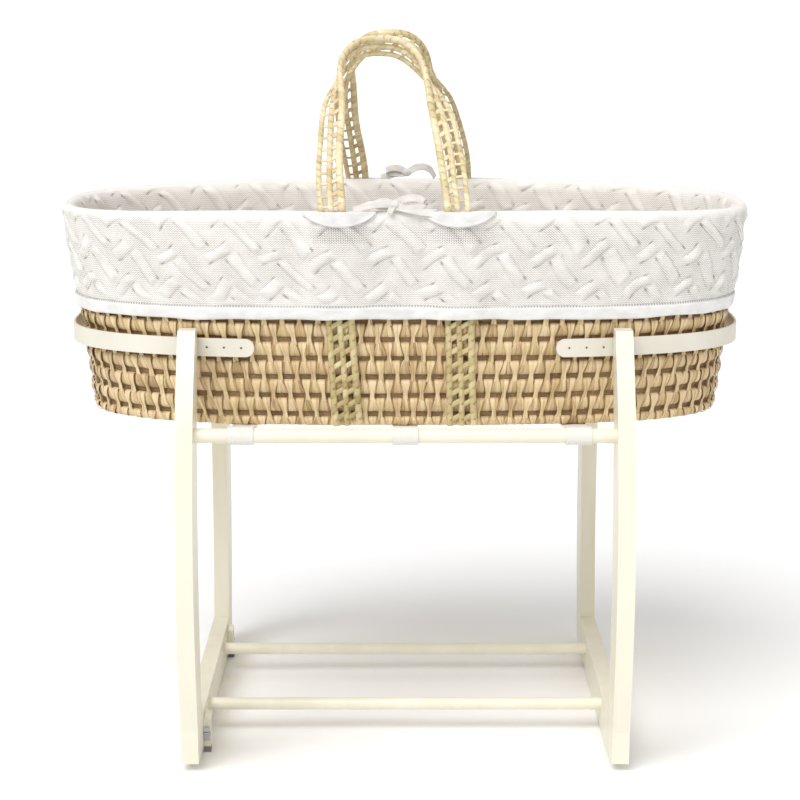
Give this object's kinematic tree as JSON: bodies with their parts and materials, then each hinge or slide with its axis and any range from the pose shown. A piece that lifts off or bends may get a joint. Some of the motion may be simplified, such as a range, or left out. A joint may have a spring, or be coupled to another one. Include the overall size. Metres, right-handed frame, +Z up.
{
  "type": "moses basket",
  "caption": "Oval woven palm-leaf moses basket with leaf carrying handles, knitted dressing and mattress, on a painted rocking stand with end straps and fold-down stops.",
  "frame": {"origin": "on the floor plane under the middle of the basket and stand", "axes": "+X along the basket towards its right end as seen from the front, -Y the front, +Z up"},
  "size_m": [0.8256, 0.5562, 0.8409],
  "materials": {
    "painted_wood": "satin ivory paint over smooth hardwood",
    "webbing": "flat white cotton webbing",
    "tip_rubber": "matt grey rubber",
    "bolt_steel": "zinc-plated steel",
    "bare_wood": "plain beech",
    "strap": "satin soft plastic",
    "palm_leaf": "dry woven palm leaf",
    "pale_leaf": "dry leaf-wrapped cords, slightly green",
    "knit": "cotton cable knit, matt",
    "jersey": "plain cotton jersey, matt",
    "lining_knit": "cotton knit lining, matt",
    "white_cotton": "white cotton tape",
    "mattress_foam": "polyurethane foam",
    "mattress_cotton": "quilted white cotton"
  },
  "bodies": {
    "stand": {"front_left_leg": "painted_wood", "front_right_leg": "painted_wood", "rear_left_leg": "painted_wood", "rear_right_leg": "painted_wood", "left_rocker": "painted_wood", "right_rocker": "painted_wood", "front_upper_rail": "painted_wood", "rear_upper_rail": "painted_wood", "front_lower_rail": "painted_wood", "rear_lower_rail": "painted_wood", "left_sling": "webbing", "centre_sling": "webbing", "right_sling": "webbing", "rail_bolts": "bolt_steel", "barrel_nuts": "bolt_steel", "leg_dowel_pins": "bare_wood", "left_strap": "strap", "right_strap": "strap", "strap_screws": "bolt_steel", "front_stop_block": "painted_wood", "rear_stop_block": "painted_wood", "stop_block_screws": "bolt_steel", "front_stop_fixed_leaf": "bolt_steel", "rear_stop_fixed_leaf": "bolt_steel", "front_stop_pin": "bolt_steel", "rear_stop_pin": "bolt_steel", "fixed_leaf_screws": "bolt_steel"},
    "basket": {"basket_wall": "palm_leaf", "basket_floor": "palm_leaf", "basket_rim": "palm_leaf", "front_left_band": "pale_leaf", "front_right_band": "pale_leaf", "rear_left_band": "pale_leaf", "rear_right_band": "pale_leaf", "dressing_skirt": "knit", "dressing_hem": "jersey", "dressing_lining": "lining_knit", "front_left_slot_binding": "white_cotton", "front_right_slot_binding": "white_cotton", "rear_left_slot_binding": "white_cotton", "rear_right_slot_binding": "white_cotton", "front_bow": "white_cotton", "rear_bow": "white_cotton"},
    "front_handle": {"front_handle": "pale_leaf"},
    "rear_handle": {"rear_handle": "pale_leaf"},
    "mattress": {"mattress_core": "mattress_foam", "mattress_cover": "mattress_cotton"},
    "front_stop": {"front_stop_foot": "painted_wood", "front_stop_tip": "tip_rubber", "front_stop_moving_leaf": "bolt_steel", "front_leaf_screws": "bolt_steel"},
    "rear_stop": {"rear_stop_foot": "painted_wood", "rear_stop_tip": "tip_rubber", "rear_stop_moving_leaf": "bolt_steel", "rear_leaf_screws": "bolt_steel"}
  },
  "joints": [
    {"name": "basket_lift", "type": "slide", "parent": "stand", "child": "basket", "axis": [0, 0, 1], "range_m": [0, 0.2]},
    {"name": "front_handle_fold", "type": "hinge", "parent": "basket", "child": "front_handle", "pos_m": [0, -0.206, 0.648], "axis": [1, 0, 0], "range_deg": [0, 165]},
    {"name": "rear_handle_fold", "type": "hinge", "parent": "basket", "child": "rear_handle", "pos_m": [0, 0.206, 0.648], "axis": [-1, 0, 0], "range_deg": [0, 165]},
    {"name": "mattress_lift", "type": "slide", "parent": "basket", "child": "mattress", "axis": [0, 0, 1], "range_m": [0, 0.24]},
    {"name": "front_stop_fold", "type": "hinge", "parent": "stand", "child": "front_stop", "pos_m": [-0.2345, -0.1869, 0.0232], "axis": [-1, 0, 0], "range_deg": [0, 175]},
    {"name": "rear_stop_fold", "type": "hinge", "parent": "stand", "child": "rear_stop", "pos_m": [-0.2345, 0.1869, 0.0232], "axis": [1, 0, 0], "range_deg": [0, 175]}
  ]
}
